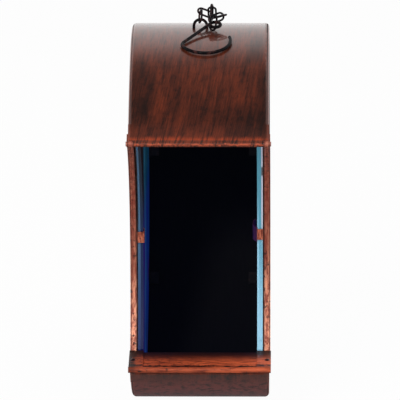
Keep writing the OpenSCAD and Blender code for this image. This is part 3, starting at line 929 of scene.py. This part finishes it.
@dataclass(frozen=True)
class BlackWire:
    """Black enamelled steel wire, glossy, a little worn to brown."""

    enamel: Colour = srgb(14, 11, 13)
    worn: Colour = srgb(68, 38, 36)
    # The worn places and the enamel's small pits
    wear: Noise = Noise((240.0,), 5.0, 0.6)
    rubbed_and_lit: Step = Step(0.52, 0.66, 0.8)
    pits: Noise = Noise((1400.0,), 3.0, 0.6)
    # The roughness where the wear's pattern is low, and where it is high
    rough: Span = Span(0.08, 0.22)

    def material(self) -> bpy.types.Material:
        """Returns the wire's material."""
        tree = Tree("black_wire")
        wear = tree.speckle(self.wear)
        return tree.finish(
            {"IOR": 1.2},
            {
                "Base Color": tree.mix(wear.step(self.rubbed_and_lit), self.enamel, self.worn),
                "Roughness": wear.between(self.rough),
                "Normal": tree.bump(tree.speckle(self.pits), depth=0.06 * MM, strength=0.4),
            },
        )


# ---------------------------------------------------------------- pieces


@dataclass
class Piece:
    """A finished mesh piece made with a bmesh.

    Attributes:
        name: The object's name.
        body: The body that it rides on.
        slot: The record's material slot; it is not used.
        material: Its material.
        mesh: What it is made of.
    """

    name: str
    body: str
    slot: str
    material: bpy.types.Material
    mesh: bmesh.types.BMesh = field(default_factory=bmesh.new)

    def place(self) -> None:
        """Turns the bmesh into a smoothly shaded object in the scene."""
        bmesh.ops.recalc_face_normals(self.mesh, faces=self.mesh.faces)
        data = bpy.data.meshes.new(self.name)
        self.mesh.to_mesh(data)
        self.mesh.free()
        data.materials.append(self.material)
        for polygon in data.polygons:
            polygon.use_smooth = True
        made = bpy.data.objects.new(self.name, data)
        bpy.context.scene.collection.objects.link(made)
        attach(made, self.body)
        LOG.info("%s: %d faces on %s", self.name, len(data.polygons), self.body)


def dress(node: str, material: bpy.types.Material) -> None:
    """Gives a carried-over solid its material.

    Args:
        node: The solid's name.
        material: Its material.
    """
    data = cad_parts[node].data
    data.materials.clear()
    data.materials.append(material)
    LOG.info("%s: %s", node, material.name)


@dataclass
class Hoop:
    """The copper hoop with its hem wire, tabs and plate."""

    copper: HoopCopper = field(default_factory=HoopCopper)
    wire: FoldedCopper = FoldedCopper("bright_copper", srgb(138, 84, 76), srgb(196, 150, 142), metallic=0.5)
    tabs: FoldedCopper = FoldedCopper("tab_copper", srgb(96, 34, 22), srgb(150, 62, 36))
    # The inner tabs and the eye plate are near black: painted shade inside the hoop
    dark_in_shade: FoldedCopper = FoldedCopper(
        "shaded_inside_copper", srgb(9, 6, 6), srgb(18, 9, 8), metallic=0.0, rough=0.6
    )

    def build(self) -> None:
        """Dresses the hoop and what is fixed in it."""
        dress("hoop", self.copper.material())
        dress("hem_wire", self.wire.material())
        outer, inner = self.tabs.material(), self.dark_in_shade.material()
        dress("eye_plate", inner)
        for side in Side:
            dress(f"inner_tabs_{side.value}", inner)
            dress(f"outer_tabs_{side.value}", outer)


@dataclass
class Perch:
    """The perch with its folded caps and rivets."""

    sheet: PerchCopper = PerchCopper(
        "perch_copper", srgb(122, 44, 23), srgb(232, 106, 60), dark=srgb(26, 9, 6),
        grain=Noise((90.0, 620.0, 620.0), 5.0, 0.65), speck=0.4, metallic=0.15, rough=0.42, coat=0.06,
    )
    rivet: FoldedCopper = FoldedCopper("dark_rivet", srgb(30, 14, 18), srgb(60, 28, 30))

    def build(self) -> None:
        """Dresses the perch."""
        sheet = self.sheet.material()
        dress("perch", sheet)
        for side in Side:
            dress(f"perch_cap_{side.value}", sheet)
        dress("perch_rivets", self.rivet.material())


@dataclass
class SeamBead:
    """The bead that closes the folded strip's seam along the mouth."""

    # The arc's radius at the strip's face, and the angles of its ends, in degrees up from the front
    radius: float = MOUTH_R + 0.1 * MM
    first: float = 114.9
    last: float = 209.4
    # The seam's distance from the feeder's middle plane, the bead's width and how far it reaches in
    middle: float = 46.2 * MM
    width: float = 0.84 * MM
    depth: float = 0.7 * MM
    corners: int = 12
    steps: int = 64

    def build(self, side: Side, material: bpy.types.Material) -> None:
        """Spins the bead's section along the mouth.

        Args:
            side: The side that it closes.
            material: Its copper.
        """
        piece = Piece(f"seam_bead_{side.value}", "feeder", "strip_copper", material)
        mesh = piece.mesh
        middle = self.middle * (-1.0 if side is Side.LEFT else 1.0)
        pivot = HUB + MOUTH
        start = math.radians(self.first)
        ahead = Vector((0.0, -math.cos(start), math.sin(start)))
        across = Vector((1.0, 0.0, 0.0))
        # The section is a circle one unit wide, which is scaled to the bead's width and depth
        section = bmesh.ops.create_circle(mesh, cap_ends=True, segments=self.corners, radius=0.5)
        for vert in section["verts"]:
            reach = self.radius + self.depth * (0.5 - vert.co.x)
            vert.co = pivot + ahead * reach + across * (middle + vert.co.y * self.width)
        bmesh.ops.spin(
            mesh, geom=mesh.faces[:], cent=pivot, axis=across, steps=self.steps,
            angle=math.radians(self.first - self.last),
        )
        piece.place()


@dataclass
class Sides:
    """The two glass panes with their strips and clips."""

    strip: StripCopper = StripCopper(
        "strip_copper", srgb(158, 76, 60), srgb(255, 176, 142), speck=0.44, metallic=0.4, coat=0.15
    )
    clip: ClipCopper = ClipCopper(
        "clip_copper", srgb(122, 46, 30), srgb(208, 118, 88), grain=Noise((900.0, 300.0, 200.0), 5.0, 0.65),
        metallic=0.25,
    )
    left: ArtGlass = ArtGlass(
        Side.LEFT,
        GlassEdge(
            high=srgb(70, 102, 130), low=srgb(28, 44, 90), outer=srgb(34, 38, 46), inner=srgb(20, 18, 24),
            inner_low=srgb(8, 10, 62), outer_width=0.8 * MM, inner_width=2.2 * MM,
        ),
    )
    # The right pane's edge is paler: its blues are painted light let through the glass, and its pale outer
    # colour is a painted reflection of the white studio
    right: ArtGlass = ArtGlass(
        Side.RIGHT,
        GlassEdge(
            high=srgb(84, 150, 172), low=srgb(150, 200, 226), outer=srgb(206, 204, 218),
            inner=srgb(84, 150, 172), inner_low=srgb(150, 200, 226), outer_width=1.05 * MM,
            inner_width=1.3 * MM,
        ),
    )

    def build(self) -> None:
        """Dresses both sides and adds their seam beads."""
        strip = self.strip.material()
        clip = self.clip.material()
        bead = SeamBead()
        for glass in (self.left, self.right):
            side = glass.side
            dress(f"side_strip_{side.value}", strip)
            bead.build(side, strip)
            dress(f"front_clip_{side.value}", clip)
            dress(f"glass_{side.value}", glass.material())


@dataclass
class Hanging:
    """The hanging eye, the chain and the hook."""

    wire: BlackWire = field(default_factory=BlackWire)

    def build(self) -> None:
        """Dresses the eye, the links and the hook."""
        wire = self.wire.material()
        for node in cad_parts:
            if node in ("hanging_eye", "hook") or node.startswith("chain_link"):
                dress(node, wire)


# ---------------------------------------------------------------- studio


@dataclass(frozen=True)
class Lamp:
    """A square soft lamp that faces the hoop.

    Attributes:
        place: Where it hangs, from the hoop's middle.
        power: Its power in watts.
        mirrored: Whether polished pieces show it.
    """

    name: str
    place: tuple[float, float, float]
    size: float
    power: float
    mirrored: bool = False

    def build(self) -> None:
        """Adds the lamp."""
        data = bpy.data.lights.new(self.name, "AREA")
        data.shape = "SQUARE"
        data.size = self.size
        data.energy = self.power
        lamp = bpy.data.objects.new(self.name, data)
        lamp.location = HUB + Vector(self.place)
        lamp.rotation_euler = Vector(self.place).to_track_quat("Z", "Y").to_euler()
        lamp.visible_glossy = self.mirrored
        bpy.context.scene.collection.objects.link(lamp)


@dataclass
class Camera:
    """The camera, which looks at the hoop's middle from above and a little from the right.

    Attributes:
        azimuth: How far it stands to the right of the front, in degrees.
        elevation: How far it looks down, in degrees.
        roll: Its turn about its own axis, in radians.
        shift: Its lens's shift to the right and up, in widths of the image.
    """

    distance: float = 3.713
    azimuth: float = 0.93
    elevation: float = 15.4
    roll: float = -0.0034
    lens: float = 480.0
    sensor: float = 36.0
    far: float = 50.0
    shift: tuple[float, float] = (-0.0027, 0.0243)

    def build(self) -> None:
        """Places the camera."""
        data = bpy.data.cameras.new("camera")
        data.lens = self.lens
        data.sensor_width = self.sensor
        data.clip_end = self.far
        data.shift_x, data.shift_y = self.shift
        camera = bpy.data.objects.new("camera", data)
        turn, rise = math.radians(self.azimuth), math.radians(self.elevation)
        away = Vector((math.sin(turn) * math.cos(rise), -math.cos(turn) * math.cos(rise), math.sin(rise)))
        camera.location = HUB + away * self.distance
        aim = away.to_track_quat("Z", "Y").to_matrix().to_4x4() @ Matrix.Rotation(self.roll, 4, "Z")
        camera.rotation_euler = aim.to_euler()
        bpy.context.scene.collection.objects.link(camera)
        bpy.context.scene.camera = camera


@dataclass
class Floor:
    """A white floor under the hoop, dimmer in reflections so that the copper stays dark."""

    # Half its width, its distance below the hoop, and its grey as a surface
    reach: float = 6.0
    gap: float = 0.2 * MM
    grey: float = 0.8
    # How white the camera sees it
    seen: float = 0.96
    # Where it gets brighter in reflections, and how bright it is near the hoop and far behind it
    far: Step = Step(0.1, 0.5)
    mirrored: Span = Span(0.17, 0.95)

    def build(self) -> None:
        """Lays the floor."""
        made = bmesh.new()
        bmesh.ops.create_grid(made, x_segments=1, y_segments=1, size=self.reach)
        bmesh.ops.translate(made, verts=made.verts, vec=(0.0, 0.0, HOOP_LOW.z - self.gap))
        data = bpy.data.meshes.new("floor")
        made.to_mesh(data)
        made.free()
        data.materials.append(self.material())
        floor = bpy.data.objects.new("floor", data)
        bpy.context.scene.collection.objects.link(floor)

    def material(self) -> bpy.types.Material:
        """Returns the floor's material."""
        tree = Tree("floor_white")
        plain = tree.node("ShaderNodeBsdfDiffuse", {}, {"Color": (self.grey, self.grey, self.grey, 1.0)})
        glow = tree.node("ShaderNodeEmission", {}, {"Color": WHITE, "Strength": 1.0})
        strength = tree.split(tree.place())[1].step(self.far).between(self.mirrored)
        dim = tree.node("ShaderNodeEmission", {}, {"Color": WHITE, "Strength": strength})
        lit = tree.blend(tree.ray("Is Camera Ray") * self.seen, plain, glow)
        tree.end(tree.blend(tree.ray("Is Glossy Ray"), lit, dim))
        return tree.material


@dataclass
class Sky:
    """A sky that is white to the camera and lights the object softly."""

    light: float = 0.4
    # The shares that reflections lack overhead and in front, by the direction's height and depth
    overhead: Step = Step(0.62, 0.96, 0.94)
    front: Step = Step(0.1, -0.5, 0.45)

    def build(self) -> None:
        """Sets the sky."""
        world = bpy.data.worlds.new("studio")
        bpy.context.scene.world = world
        tree = Tree(world=world)
        _, y, z = tree.split(tree.node("ShaderNodeTexCoord", output="Generated"))
        glint = (1.0 - z.step(self.overhead)) * (1.0 - y.step(self.front))
        sheen, light, white = (
            tree.node("ShaderNodeBackground", {}, {"Color": WHITE, "Strength": strength})
            for strength in (glint, self.light, 1.0)
        )
        lit = tree.blend(tree.ray("Is Glossy Ray"), light, sheen)
        seen = tree.ray("Is Camera Ray") + tree.ray("Is Transmission Ray")
        tree.end(tree.blend(seen, lit, white))


@dataclass
class Studio:
    """The camera, the sky, the floor and the lamps."""

    camera: Camera = field(default_factory=Camera)
    sky: Sky = field(default_factory=Sky)
    floor: Floor = field(default_factory=Floor)
    lamps: tuple[Lamp, ...] = (
        Lamp("key", (-0.9, -1.5, 1.1), 1.2, 22.0),
        Lamp("fill", (1.5, -1.3, 0.5), 1.4, 12.0),
        Lamp("top", (0.1, 0.3, 1.8), 1.4, 8.0),
        Lamp("glint", (-0.5, -1.7, 0.9), 0.25, 4.5, mirrored=True),
    )

    def build(self) -> None:
        """Builds the whole studio."""
        for part in (self.camera, self.sky, self.floor, *self.lamps):
            part.build()


def main() -> None:
    """Builds the feeder's finishes and pieces, and the studio."""
    logging.basicConfig(level=logging.INFO, format="%(name)s %(message)s")
    bpy.context.scene.view_settings.view_transform = "Standard"
    for part in (Hoop(), Perch(), Sides(), Hanging(), Studio()):
        part.build()


if __name__ == "__main__":
    main()
